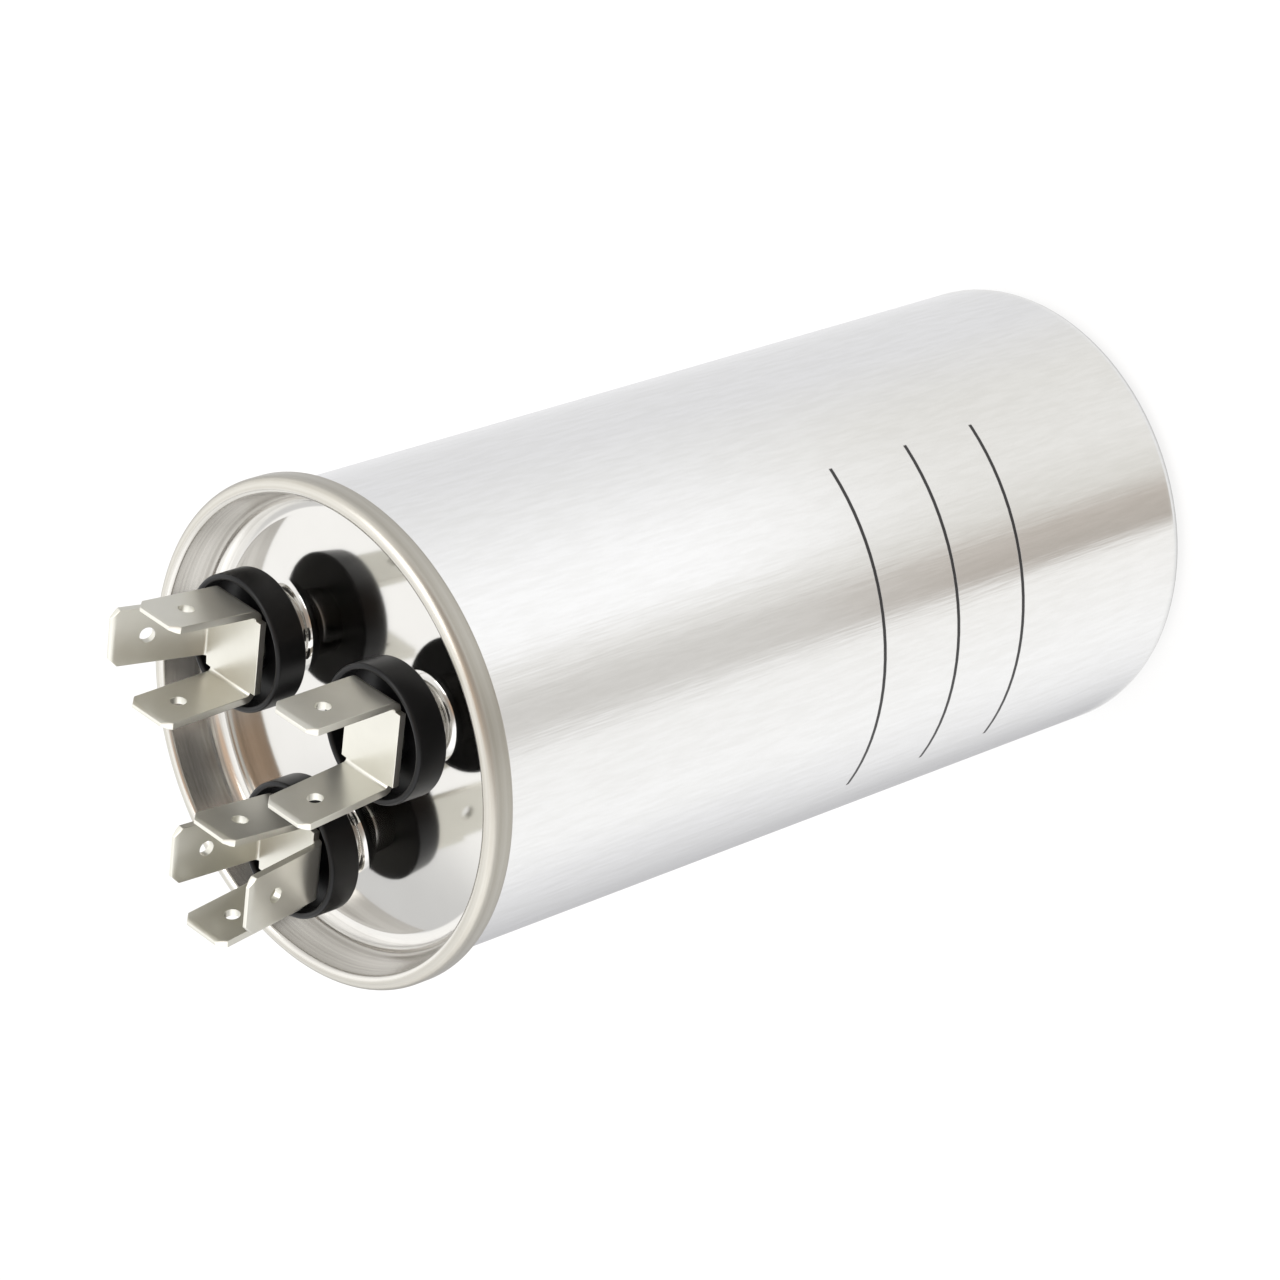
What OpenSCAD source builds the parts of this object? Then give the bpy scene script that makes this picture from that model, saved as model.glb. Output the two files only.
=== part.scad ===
// Round dual-section motor-run capacitor: a drawn aluminium can closed by a
// seamed tinplate cover that carries three groups of quick-connect tabs.
// The can stands on its closed end, with the origin at the centre of that end.

/* [Can] */
// Outside diameter of the can
can_d = 50; // [44:0.5:65]
// Height from the closed end to the top of the seam
can_h = 102.8; // [80:0.2:150]
// Thickness of the drawn side wall
can_wall = 0.35; // [0.3:0.05:0.7]
// Thickness of the closed end
can_floor = 0.6; // [0.4:0.1:1.5]
// Outside radius where the side turns into the closed end
bottom_r = 2.2; // [1.2:0.1:4]

/* [Cover and seam] */
// Thickness of the cover's tinplate
cover_t = 0.3; // [0.25:0.05:0.5]
// Height of the rolled double seam
seam_h = 2.95; // [2.6:0.05:4]
// Radius of the seam's upper outer edge
seam_edge_r = 1; // [0.7:0.05:1.1]
// Radius of the seam's lower outer edge
seam_foot_r = 0.55; // [0.4:0.05:0.65]
// Radius of the seam's upper inner edge
seam_inner_r = 0.6; // [0.4:0.05:0.7]
// Depth of the panel below the top of the seam
recess_depth = 5.4; // [4.5:0.1:8]
// Lean of the recess wall from upright, in degrees
wall_lean = 11.5; // [5:0.5:14]
// Drop from the panel to the bottom of the groove round its edge
groove_drop = 0.4; // [0.2:0.05:1.2]
// Fillet between the groove and the recess wall
panel_fillet = 2; // [0.5:0.1:2.5]
// Outside diameter of the drawn collar under each terminal
collar_d = 8.1; // [7:0.1:10]
// Height of the collars above the panel
collar_h = 4.75; // [3:0.05:6]
// Fillet where a collar rises from the panel
collar_fillet = 1.25; // [0.4:0.05:1.8]

/* [Terminals] */
// Radius of the circle on which the three terminals sit
pitch_r = 12.4; // [11.5:0.1:14]
// Outside diameter of an insulator cup
cup_d = 14.4; // [13:0.1:16]
// Height of an insulator cup above its collar
cup_h = 3.15; // [2.5:0.05:4.5]
// Wall thickness of an insulator cup
cup_wall = 0.7; // [0.5:0.05:1]
// Floor thickness of an insulator cup
cup_floor = 1; // [0.7:0.1:1.4]
// Radius of the cup's lower outside edge
cup_edge_r = 0.8; // [0.3:0.1:1]
// Diameter of the pedestal in the middle of a cup
pedestal_d = 6.4; // [5:0.1:7]
// Height of the pedestal above the cup's floor
pedestal_h = 0.6; // [0.3:0.1:1.5]
// Diameter of the stud's shank
stud_d = 3; // [2:0.1:4]
// Diameter of the stud's flat head
stud_head_d = 6; // [4.5:0.1:6.8]
// Thickness of the stud's head
stud_head_t = 0.8; // [0.5:0.1:1.2]
// Diameter of the stud's riveted tail
stud_tail_d = 5; // [4.5:0.1:6]
// Thickness of the stud's riveted tail
stud_tail_t = 0.9; // [0.5:0.1:1.5]
// Outside diameter of the sealing washer under the cover
washer_d = 13; // [11:0.1:15]
// Thickness of the sealing washer
washer_t = 1.2; // [0.8:0.1:2]

/* [Quick-connect tabs] */
// Width of a tab
tab_w = 6.35; // [4.8:0.05:6.8]
// Thickness of the tab sheet
tab_t = 0.8; // [0.5:0.1:1]
// Height of a tab's tip above its plate
tab_len = 10.5; // [8:0.1:13]
// Size of the slanted corners at a tab's tip
tab_corner = 0.9; // [0.4:0.1:1.6]
// Depth of the bevel on the two faces of a tab's tip
tip_bevel = 0.2; // [0.1:0.05:0.35]
// Height of that bevel
tip_bevel_h = 0.6; // [0.3:0.05:1]
// Diameter of the locking hole
tab_hole_d = 1.7; // [1.2:0.1:2.2]
// Distance from a tab's tip to its locking hole
tab_hole_in = 4; // [3:0.1:5]
// Inside radius of the folds
fold_r = 0.4; // [0.2:0.1:0.6]
// Width of a terminal plate between its folds, across X
plate_x = 7.8; // [7.2:0.1:9]
// Length of a terminal plate between its folds, across Y
plate_y = 8.1; // [7.6:0.1:10]

/* [Inside the can] */
// Wall and floor thickness of the insulating liner
liner_t = 0.8; // [0.5:0.1:1.2]
// How far the liner rises above the winding
liner_rise = 5; // [2:0.5:8]
// Height of the wound film
winding_h = 80; // [50:1:84]
// Outside diameter of the winding core
core_d = 10; // [8:0.5:12]
// Wall thickness of the winding core
core_wall = 1.5; // [1:0.1:2]
// Radial build of the small inner section
fan_build = 3; // [2:0.1:5]
// Thickness of the film wrap between the two sections
wrap_t = 0.4; // [0.2:0.1:1]
// Thickness of the sprayed metal ends of the winding
spray_t = 0.5; // [0.3:0.1:1]
// Diameter of the insulated leads
lead_d = 1.8; // [1:0.1:2.4]
// Centreline radius of the bends in the leads
lead_bend_r = 2.4; // [2:0.1:2.8]

/* [Fits] */
// Gap between the layers of sheet in the seam
seam_gap = 0.05; // [0.02:0.01:0.1]
// Free space past the end of each hook in the seam
hook_play = 0.2; // [0.1:0.05:0.4]
// Flat land of the panel past the terminals' collars and washers
seat_land = 0.2; // [0.1:0.1:1]
// Radial gap between an insulator's spigot and its collar
spigot_gap = 0.1; // [0.05:0.05:0.2]
// Radial gap between a stud and the bores it passes through
stud_gap = 0.05; // [0.02:0.01:0.15]
// Radial gap between the liner and the can
liner_gap = 0.15; // [0.1:0.05:0.4]
// Least radial gap between the winding and the liner
winding_gap = 0.3; // [0.1:0.1:0.8]
// Least gap between the top of the liner and the cover
liner_top_gap = 2; // [1:0.5:4]

/* [Hidden] */
$fn = 96;
arc_step = 10;
// How far a cut runs past the faces that it opens
cut_past = 1;
// Largest share of the room above the winding that one bend of a lead takes
bend_share = 0.45;
// Smallest inside radius of a bend in the can's flange
bend_least = 0.05;
// Largest share of the ring round the panel that the groove's fillet takes
groove_share = 0.5;

// Each terminal: its name, its place round the cover, and how far each of its
// tabs leans outward, in degrees, in the order left, back, right, front.
// A side without a tab is undef.
TERMINALS = [
    ["common", -90, [3, 4, 9.5, 8.5]],
    ["compressor", 150, [15.5, 5, undef, 1.5]],
    ["fan", 30, [undef, -1, undef, 6]]
];
SIDE_ANGLES = [180, 90, 0, -90];

can_r = can_d / 2;
can_inner_r = can_r - can_wall;

// Levels in the seam, from the top down
seam_z = can_h - seam_h;
flange_top = can_h - cover_t - seam_gap;
flange_under = flange_top - can_wall;
cover_hook_top = flange_under - hook_play;
can_hook_foot = seam_z + cover_t + hook_play;

// Radii in the seam, from the can's wall outward
cover_hook_in = can_r + lean_at(cover_hook_top) + seam_gap;
cover_hook_out = cover_hook_in + cover_t;
can_hook_in = cover_hook_out + seam_gap;
can_hook_out = can_hook_in + can_wall;
seam_r = can_hook_out + seam_gap + cover_t;

// Centres of the seam's bends, which the cover and the can's flange share,
// and the radii of the flange where it follows the cover's underside
edge_at = [seam_r - seam_edge_r, can_h - seam_edge_r];
foot_at = [seam_r - seam_foot_r, seam_z + seam_foot_r];
inner_z = can_h - seam_inner_r;
inner_at = [recess_in(inner_z) + seam_inner_r / cos(wall_lean), inner_z];
flange_edge_r = seam_edge_r - cover_t - seam_gap;
flange_inner_r = seam_inner_r - cover_t - seam_gap;

// Levels of the terminals, from the panel up and down
panel_z = can_h - recess_depth;
panel_under = panel_z - cover_t;
collar_top = panel_z + collar_h;
cup_floor_z = collar_top + cup_floor;
pedestal_top = cup_floor_z + pedestal_h;
plate_z = pedestal_top + stud_head_t;
washer_under = panel_under - washer_t;
tail_end = washer_under - stud_tail_t;

collar_r = collar_d / 2;
collar_inner_r = collar_r - cover_t;
spigot_r = collar_inner_r - spigot_gap;
stud_r = stud_d / 2;
stud_bore_r = stud_r + stud_gap;
fold_outer_r = fold_r + tab_t;
blade_h = tab_len - fold_r;

// The groove round the panel: its level and fillet, and the slope of the ring
// that drops into it from the edge of the flat panel
groove_z = panel_z - groove_drop;
panel_r = pitch_r + max(collar_r + collar_fillet, washer_d / 2) + seat_land;
groove_r = min(panel_fillet, groove_share * (recess_in(groove_z) - panel_r));
groove_at = [recess_in(groove_z + groove_r) - groove_r / cos(wall_lean), groove_z + groove_r];
to_groove = groove_at - [panel_r, panel_z];
ring_slope = asin(groove_r / norm(to_groove)) - atan2(to_groove[1], to_groove[0]);

// Levels and radii of the winding
winding_z = can_floor + liner_t;
film_z = winding_z + spray_t;
film_top = film_z + winding_h;
winding_top = film_top + spray_t;
lead_room = tail_end - winding_top;
liner_top = min(winding_top + liner_rise, groove_z - cover_t - liner_top_gap);
liner_r = can_inner_r - liner_gap;
liner_inner_r = liner_r - liner_t;
winding_r = liner_r - max(bottom_r, liner_t + winding_gap);
core_r = core_d / 2;
fan_r = core_r + fan_build;
wrap_r = fan_r + wrap_t;
fan_mean_r = (core_r + fan_r) / 2;

// Points along an arc about a centre, between two angles in degrees
function arc(centre, r, from, to) =
    let (steps = ceil(abs(to - from) / arc_step))
    [for (i = [0 : steps])
        let (a = from + (to - from) * i / steps)
        [centre[0] + r * cos(a), centre[1] + r * sin(a)]];

// How far the can's wall has leaned outward at a level inside the seam
function lean_at(z) = (z - seam_z) * tan(wall_lean);

// Inner and outer faces of the recess wall at a level
function recess_out(z) = can_inner_r - seam_gap / cos(wall_lean) + lean_at(z);
function recess_in(z) = recess_out(z) - cover_t / cos(wall_lean);

module at_terminal(terminal) {
    rotate(terminal[1])
        translate([pitch_r, 0, 0])
            rotate(-terminal[1])
                children();
}

module ring(inner_r, outer_r, from_z, to_z) {
    translate([0, 0, from_z])
        difference() {
            cylinder(r = outer_r, h = to_z - from_z);
            translate([0, 0, -cut_past])
                cylinder(r = inner_r, h = to_z - from_z + 2 * cut_past);
        }
}

// Half section of the can, with the flange that hooks into the seam
module can_section() {
    corner_r = bottom_r - can_wall;
    hook_r = max((flange_edge_r - can_wall) / 2, bend_least);
    polygon(concat(
        [[0, 0]],
        arc([can_r - bottom_r, bottom_r], bottom_r, -90, 0),
        [
            [can_r, seam_z],
            [can_r + lean_at(flange_under), flange_under]
        ],
        arc([can_hook_in - hook_r, flange_under - hook_r], hook_r, 90, 0),
        [[can_hook_in, can_hook_foot], [can_hook_out, can_hook_foot]],
        arc(edge_at, flange_edge_r, 0, 90),
        arc(inner_at, flange_inner_r, 90, 180 - wall_lean),
        [[can_inner_r, seam_z]],
        arc([can_inner_r - corner_r, can_floor + corner_r], corner_r, 0, -90),
        [[0, can_floor]]
    ));
}

module can() {
    color("gainsboro")
        rotate_extrude()
            can_section();
}

// Half section of the cover: panel, groove, leaning recess wall and rolled hook
module cover_section() {
    polygon(concat(
        [[0, panel_z], [panel_r, panel_z]],
        arc(groove_at, groove_r, -90 - ring_slope, -wall_lean),
        arc(inner_at, seam_inner_r, 180 - wall_lean, 90),
        arc(edge_at, seam_edge_r, 90, 0),
        arc(foot_at, seam_foot_r, 0, -90),
        [
            [cover_hook_in, seam_z],
            [cover_hook_in, cover_hook_top],
            [cover_hook_out, cover_hook_top],
            [cover_hook_out, seam_z + cover_t]
        ],
        arc(foot_at, seam_foot_r - cover_t, -90, 0),
        arc(edge_at, seam_edge_r - cover_t, 0, 90),
        arc(inner_at, seam_inner_r - cover_t, 90, 180 - wall_lean),
        arc(groove_at, groove_r + cover_t, -wall_lean, -90 - ring_slope),
        [[panel_r - cover_t * tan(ring_slope / 2), panel_under], [0, panel_under]]
    ));
}

// Half section of one drawn collar, of the same sheet as the panel
module collar_section() {
    root_at = [collar_r + collar_fillet, panel_z + collar_fillet];
    polygon(concat(
        arc(root_at, collar_fillet, -90, -180),
        [[collar_r, collar_top], [collar_inner_r, collar_top]],
        arc(root_at, collar_fillet + cover_t, -180, -90)
    ));
}

module cover() {
    color("silver") {
        difference() {
            rotate_extrude()
                cover_section();
            for (terminal = TERMINALS)
                at_terminal(terminal)
                    translate([0, 0, panel_under - cut_past])
                        cylinder(r = collar_r + collar_fillet, h = cover_t + 2 * cut_past);
        }
        for (terminal = TERMINALS)
            at_terminal(terminal)
                rotate_extrude()
                    collar_section();
    }
}

// Half section of an insulator cup, whose spigot fills the collar
module cup_section() {
    cup_r = cup_d / 2;
    lip_r = cup_wall / 2;
    polygon(concat(
        [
            [stud_bore_r, panel_under],
            [spigot_r, panel_under],
            [spigot_r, collar_top]
        ],
        arc([cup_r - cup_edge_r, collar_top + cup_edge_r], cup_edge_r, -90, 0),
        arc([cup_r - lip_r, collar_top + cup_h - lip_r], lip_r, 0, 180),
        [
            [cup_r - cup_wall, cup_floor_z],
            [pedestal_d / 2, cup_floor_z],
            [pedestal_d / 2, pedestal_top],
            [stud_bore_r, pedestal_top]
        ]
    ));
}

module cup(terminal) {
    color("#1c1c1e")
        at_terminal(terminal)
            rotate_extrude()
                cup_section();
}

// The stud: a flat head on the pedestal, riveted over under the washer
module stud(terminal) {
    color("tan")
        at_terminal(terminal)
            rotate_extrude()
                polygon([
                    [0, plate_z],
                    [stud_head_d / 2, plate_z],
                    [stud_head_d / 2, pedestal_top],
                    [stud_r, pedestal_top],
                    [stud_r, washer_under],
                    [stud_tail_d / 2, washer_under],
                    [stud_tail_d / 2, tail_end],
                    [0, tail_end]
                ]);
}

module washer(terminal) {
    color("dimgray")
        at_terminal(terminal)
            ring(stud_bore_r, washer_d / 2, washer_under, panel_under);
}

// A point of a tab's side view: out from the fold's centre, then up the blade
function blade_point(out, up, lean) =
    [out * cos(lean) + up * sin(lean), up * cos(lean) - out * sin(lean)];

// Side view of a tab: its root in the plate, the fold and the bevelled blade
module tab_side(lean) {
    polygon(concat(
        [[-fold_r, -fold_outer_r]],
        arc([0, 0], fold_outer_r, -90, -lean),
        [
            blade_point(fold_outer_r, blade_h - tip_bevel_h, lean),
            blade_point(fold_outer_r - tip_bevel, blade_h, lean),
            blade_point(fold_r + tip_bevel, blade_h, lean),
            blade_point(fold_r, blade_h - tip_bevel_h, lean)
        ],
        arc([0, 0], fold_r, -lean, -90),
        [[-fold_r, -fold_r]]
    ));
}

// What is cut from an upright blade: its slanted corners and its hole
module blade_cuts() {
    half_w = tab_w / 2;
    past = tab_t;
    for (flip = [0, 1])
        mirror([flip, 0, 0])
            polygon([
                [half_w + past, blade_h - tab_corner - past],
                [half_w + past, blade_h + past],
                [half_w - tab_corner - past, blade_h + past]
            ]);
    translate([0, blade_h - tab_hole_in])
        circle(d = tab_hole_d);
}

// One tab folded up from the plate's edge, leaning outward past upright
module folded_tab(edge, lean) {
    translate([edge, 0, plate_z + fold_outer_r])
        difference() {
            translate([0, tab_w / 2, 0])
                rotate([90, 0, 0])
                    linear_extrude(tab_w)
                        tab_side(lean);
            rotate([0, lean, 0])
                rotate([90, 0, 90])
                    linear_extrude(fold_outer_r + tab_t)
                        blade_cuts();
        }
}

// A terminal's plate and tabs, folded from one piece of sheet
module tabs(terminal) {
    leans = terminal[2];
    edges = [plate_x / 2, plate_y / 2, plate_x / 2, plate_y / 2];
    color("#b9b4a6")
        at_terminal(terminal) {
            translate([-plate_x / 2, -plate_y / 2, plate_z])
                cube([plate_x, plate_y, tab_t]);
            for (side = [0 : 3])
                if (!is_undef(leans[side]))
                    rotate(SIDE_ANGLES[side])
                        folded_tab(edges[side], leans[side]);
        }
}

// A lead that drops from its stud, crosses inward and drops to its end
module lead(terminal, inset, foot_z) {
    lead_r = lead_d / 2;
    bend_r = min(lead_bend_r, bend_share * lead_room);
    cross_z = winding_top + lead_room / 2;
    color("indianred")
        rotate(terminal[1])
            translate([pitch_r, 0, 0])
                if (inset == 0)
                    translate([0, 0, foot_z])
                        cylinder(r = lead_r, h = tail_end - foot_z);
                else {
                    upper_z = cross_z + bend_r;
                    lower_z = cross_z - bend_r;
                    translate([0, 0, upper_z])
                        cylinder(r = lead_r, h = tail_end - upper_z);
                    translate([-bend_r, 0, upper_z])
                        rotate([-90, 0, 0])
                            rotate_extrude(angle = 90)
                                translate([bend_r, 0])
                                    circle(r = lead_r);
                    translate([bend_r - inset, 0, cross_z])
                        rotate([0, 90, 0])
                            cylinder(r = lead_r, h = inset - 2 * bend_r);
                    translate([bend_r - inset, 0, lower_z])
                        rotate([90, 0, 180])
                            rotate_extrude(angle = 90)
                                translate([bend_r, 0])
                                    circle(r = lead_r);
                    translate([-inset, 0, foot_z])
                        cylinder(r = lead_r, h = lower_z - foot_z);
                }
}

// The insulating liner that keeps the winding off the can
module liner() {
    corner_at = [liner_r - bottom_r, can_floor + bottom_r];
    color("lightyellow")
        rotate_extrude()
            polygon(concat(
                [[0, can_floor]],
                arc(corner_at, bottom_r, -90, 0),
                [[liner_r, liner_top], [liner_inner_r, liner_top]],
                arc(corner_at, bottom_r - liner_t, 0, -90),
                [[0, winding_z]]
            ));
}

module core() {
    color("whitesmoke")
        ring(core_r - core_wall, core_r, film_z, winding_top);
}

module winding_compressor() {
    color("lightsteelblue")
        ring(wrap_r, winding_r, film_z, film_top);
}

module winding_fan() {
    color("lightblue")
        ring(core_r, fan_r, film_z, film_top);
}

module section_wrap() {
    color("khaki")
        ring(fan_r, wrap_r, film_z, winding_top);
}

// Sprayed metal on the lower face, which joins both sections to one lead
module end_common() {
    color("darkgray")
        translate([0, 0, winding_z])
            cylinder(r = winding_r, h = spray_t);
}

module end_compressor() {
    color("darkgray")
        ring(wrap_r, winding_r, film_top, winding_top);
}

module end_fan() {
    color("darkgray")
        ring(core_r, fan_r, film_top, winding_top);
}

can();
cover();
for (terminal = TERMINALS) {
    cup(terminal);
    stud(terminal);
    tabs(terminal);
    washer(terminal);
}
lead(TERMINALS[0], pitch_r, film_z);  // lead_common
lead(TERMINALS[1], 0, winding_top);  // lead_compressor
lead(TERMINALS[2], pitch_r - fan_mean_r, winding_top);  // lead_fan
liner();
core();
winding_compressor();
winding_fan();
section_wrap();
end_common();
end_compressor();
end_fan();
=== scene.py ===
import math

import bmesh
import bpy
from mathutils import Matrix, Vector
from mathutils.geometry import delaunay_2d_cdt


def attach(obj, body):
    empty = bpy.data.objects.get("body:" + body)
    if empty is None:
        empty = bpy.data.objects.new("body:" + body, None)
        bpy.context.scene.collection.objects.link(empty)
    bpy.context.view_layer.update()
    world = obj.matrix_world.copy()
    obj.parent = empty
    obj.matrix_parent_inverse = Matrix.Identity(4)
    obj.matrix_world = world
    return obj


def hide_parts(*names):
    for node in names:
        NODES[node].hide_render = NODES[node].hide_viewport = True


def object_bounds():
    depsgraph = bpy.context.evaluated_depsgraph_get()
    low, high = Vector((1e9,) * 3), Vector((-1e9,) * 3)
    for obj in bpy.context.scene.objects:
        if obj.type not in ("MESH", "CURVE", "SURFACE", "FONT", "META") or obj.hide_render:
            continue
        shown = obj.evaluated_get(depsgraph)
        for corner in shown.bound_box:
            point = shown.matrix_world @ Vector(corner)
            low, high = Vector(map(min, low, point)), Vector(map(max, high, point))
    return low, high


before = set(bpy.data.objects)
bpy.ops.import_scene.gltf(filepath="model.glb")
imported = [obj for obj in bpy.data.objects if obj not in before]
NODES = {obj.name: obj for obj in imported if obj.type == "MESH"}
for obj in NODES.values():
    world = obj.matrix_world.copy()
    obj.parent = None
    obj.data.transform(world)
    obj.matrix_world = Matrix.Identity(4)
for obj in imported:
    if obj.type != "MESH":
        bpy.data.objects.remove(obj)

MM = 0.001
CAD_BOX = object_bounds()
TERMINALS = ("common", "compressor", "fan")

# Camera: where it stands, what it looks at, its roll and its lens
CAMERA_AT = Vector((308.69, 232.84, 379.88)) * MM
CAMERA_AIM = Vector((0.668, -0.886, 59.052)) * MM
CAMERA_ROLL = math.radians(108.554)
PICTURE_WIDTH_PX = 1280
FOCAL_PX = 4770.94
SENSOR_WIDTH = 36.0

# Azimuth from which the camera sees the can, and towards which the studio is turned
CAMERA_AZIMUTH = math.atan2(CAMERA_AT.y, CAMERA_AT.x)

# Ink lines round the can: their levels at the camera's azimuth, their half height, their fall
# for each degree, and how far they reach to either side of that azimuth, in degrees
INK_LEVELS = (47.0 * MM, 35.95 * MM, 26.0 * MM)
INK_HALF = 0.23 * MM
INK_FALL = 0.0105 * MM
INK_FROM = -64.0
INK_TO = 22.5

# How softly the ink ends: in degrees along a line, and as a share of the half height across it
INK_END_FADE = 0.4
INK_EDGE_FADE = 0.25

# Tones of the finishes that show, dark and light
CAN_TONES = ((0.867, 0.864, 0.862), (0.949, 0.949, 0.957))
PANEL_TONES = ((0.51, 0.50, 0.48), (0.55, 0.54, 0.52))
WALL_TONES = ((0.44, 0.425, 0.395), (0.64, 0.625, 0.595))
SEAM_TONES = ((0.40, 0.38, 0.335), (0.49, 0.475, 0.435))
CUP_TONES = ((0.0035, 0.0035, 0.004), (0.0065, 0.0065, 0.007))
TAB_TONES = ((0.57, 0.56, 0.505), (0.64, 0.63, 0.575))
STUD_TONES = ((0.52, 0.48, 0.40), (0.64, 0.60, 0.52))
INK_TONE = (0.018, 0.018, 0.02)

# The part of a noise's range that is spread over 0 to 1 where marks have to stand out
NOISE_LOW = 0.3
NOISE_HIGH = 0.7

# Radii between which the cover's finish goes over to that of the wall, and to that of the seam
WALL_FROM, WALL_FULL = 22.0 * MM, 23.5 * MM
SEAM_FROM, SEAM_FULL = 25.0 * MM, 25.5 * MM

# How far the lines that rolling leaves on the cover wander
ROLLED_DRIFT = 0.3 * MM

# The cover's sheet: its thickness, its bends at the seam, and the hook inside the seam
SHEET_T = 0.3 * MM
SEAM_H = 2.95 * MM
SEAM_EDGE_R = 1.0 * MM
SEAM_FOOT_R = 0.55 * MM
SEAM_INNER_R = 0.6 * MM
HOOK_R = 0.35 * MM
HOOK_IN = 1.05 * MM
HOOK_DROP = 0.9 * MM

# The recess: its leaning wall, the groove at its foot, and the panel's slight crown
RECESS_LEAN = 11.5
RECESS_IN = 2.224 * MM
RECESS_DEPTH = 5.8 * MM
GROOVE_R = 2.0 * MM
CROWN_DROP = 4.8 * MM

# The collars drawn up from the panel, and their azimuths
PITCH_R = 12.4 * MM
COLLAR_R = 3.5 * MM
COLLAR_FLARE = 1.3 * MM
COLLAR_AZIMUTHS = (-90, 150, 30)

# The insulator cups: their radii and levels, from the spigot's foot to the lip
CUP_R = 7.2 * MM
CUP_WALL = 0.7 * MM
CUP_EDGE_R = 0.25 * MM
PEDESTAL_R = 3.2 * MM
SPIGOT_R = 3.1 * MM
STUD_BORE_R = 1.55 * MM
SPIGOT_FOOT = 97.1 * MM
CUP_FOOT = 101.7 * MM
CUP_FLOOR = 103.15 * MM
PEDESTAL_TOP = 103.75 * MM
CUP_LIP = 105.3 * MM
CUP_SIDES = 128
CUP_SHARP = math.radians(30)

# Fineness of the cover's mesh: the sides of its rings, the step of its bends in degrees, and
# the triangles that fill the panel, which keep a share of their size clear of the rings
COVER_SIDES = 288
COLLAR_SIDES = 96
BEND_STEP = 4.0
PANEL_R = 19.4 * MM
PANEL_RINGS = 5
PANEL_GRID = 0.9 * MM
PANEL_ROW = math.sqrt(0.75)
PANEL_CLEAR = 0.4
PANEL_SLACK = 1e-6

# The tabs' sheet: its thickness, how closely the walls of its holes keep to that, the rounding
# of its stamped edges, and what counts as one point and as one flat face of the solid
TAB_T = 0.8 * MM
TAB_T_SLACK = 0.02 * MM
STAMPED_EDGE_R = 0.09 * MM
STAMPED_SEGMENTS = 3
STAMPED_ANGLE = math.radians(40)
SAME_POINT = 0.0005 * MM
SAME_FACE_ANGLE = math.radians(1)
LARGE_FACES_FIRST = 100

# What the camera sees behind the part
BACKDROP = (1.0, 1.0, 1.0)

# The floor: its size, its tones under light and in mirrors, and the share of its own glow
FLOOR_R = 4.0
FLOOR_RINGS = 6
FLOOR_SIDES = 96
FLOOR_MATT = (0.86, 0.86, 0.86)
FLOOR_MIRRORED = (0.93, 0.93, 0.93)
FLOOR_SEEN_GLOW = 0.80
FLOOR_MIRRORED_GLOW = 0.9

# The cards that the can mirrors: their size and height over the floor, and the distances
# from the axis between which their near bands go over to the far ones
CARD_R = 1.5
CARD_HOLE_R = 20 * MM
CARD_LIFT = 0.05 * MM
CARD_NEAR = 55 * MM
CARD_FAR = 105 * MM
CAN_R = 25.0 * MM
MIRROR_ROUNDS = 3

# Bands of painted reflection on the cards, by the azimuth on the can at which they show, near the
# can and far from it
# SHADE, GREY and the taupe bands are painted shade in the can's mirror image, and WHITE and the
# tones over 1 are painted highlights
SHADE = (0.56, 0.56, 0.57)
GREY = (0.79, 0.79, 0.795)
WHITE = (1.0, 1.0, 0.99)
BACK = (0.80, 0.80, 0.80)
NEAR_BANDS = (
    (-90, BACK), (-85, SHADE), (-76, SHADE), (-58, (0.90, 0.90, 0.90)), (-44, WHITE),
    (-19, (0.95, 0.94, 0.91)), (-15, (0.48, 0.44, 0.395)), (-8, (0.55, 0.505, 0.455)),
    (-2, (0.77, 0.755, 0.71)), (10, (0.86, 0.85, 0.815)), (31, (0.81, 0.80, 0.765)),
    (52, GREY), (70, GREY), (84, (0.90, 0.90, 0.91)), (90, BACK),
)
FAR_BANDS = (
    (-90, BACK), (-85, SHADE), (-78, SHADE), (-56, (0.84, 0.84, 0.845)), (-44, WHITE),
    (-20, (0.96, 0.955, 0.935)), (-14, (0.68, 0.665, 0.635)), (-8, (0.67, 0.655, 0.625)),
    (-1, (0.85, 0.84, 0.81)), (6, (1.06, 1.06, 1.055)), (18, (1.04, 1.04, 1.035)),
    (40, (0.86, 0.86, 0.855)), (56, GREY), (70, GREY), (84, (0.90, 0.90, 0.91)), (90, BACK),
)

# Tones of the cards close to the can's foot, a painted highlight (pale) and painted shade (grey)
# that show in its rounded edge, and the distances from the axis at which they begin and are full
FOOT_PALE = (0.85, 0.85, 0.84)
FOOT_PALE_FROM, FOOT_PALE_FULL = 26.4 * MM, 25.4 * MM
FOOT_GREY = (0.50, 0.50, 0.49)
FOOT_GREY_FROM, FOOT_GREY_FULL = 25.0 * MM, 24.2 * MM

# The studio's even light, and the patches laid over it one after the other: azimuth from the
# camera's, elevation, the angles within which a patch is full and past which it is gone, tone
STUDIO_TONE = (1.45, 1.45, 1.44)
STUDIO_PATCHES = (
    (6, 12, 10, 72, (0.55, 0.47, 0.41)),  # dim warm room on the camera's side
    (0, 58, 8, 24, (0.85, 0.60, 0.42)),  # wooden shelf above the camera
    (-88, 36, 18, 42, (2.05, 2.06, 2.08)),  # softbox beside the part
    (150, 50, 22, 42, (1.70, 1.70, 1.70)),  # softbox behind the part
    (195, 31, 7, 13, (1.09, 1.095, 1.105)),  # duller gap under that softbox
)


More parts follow.
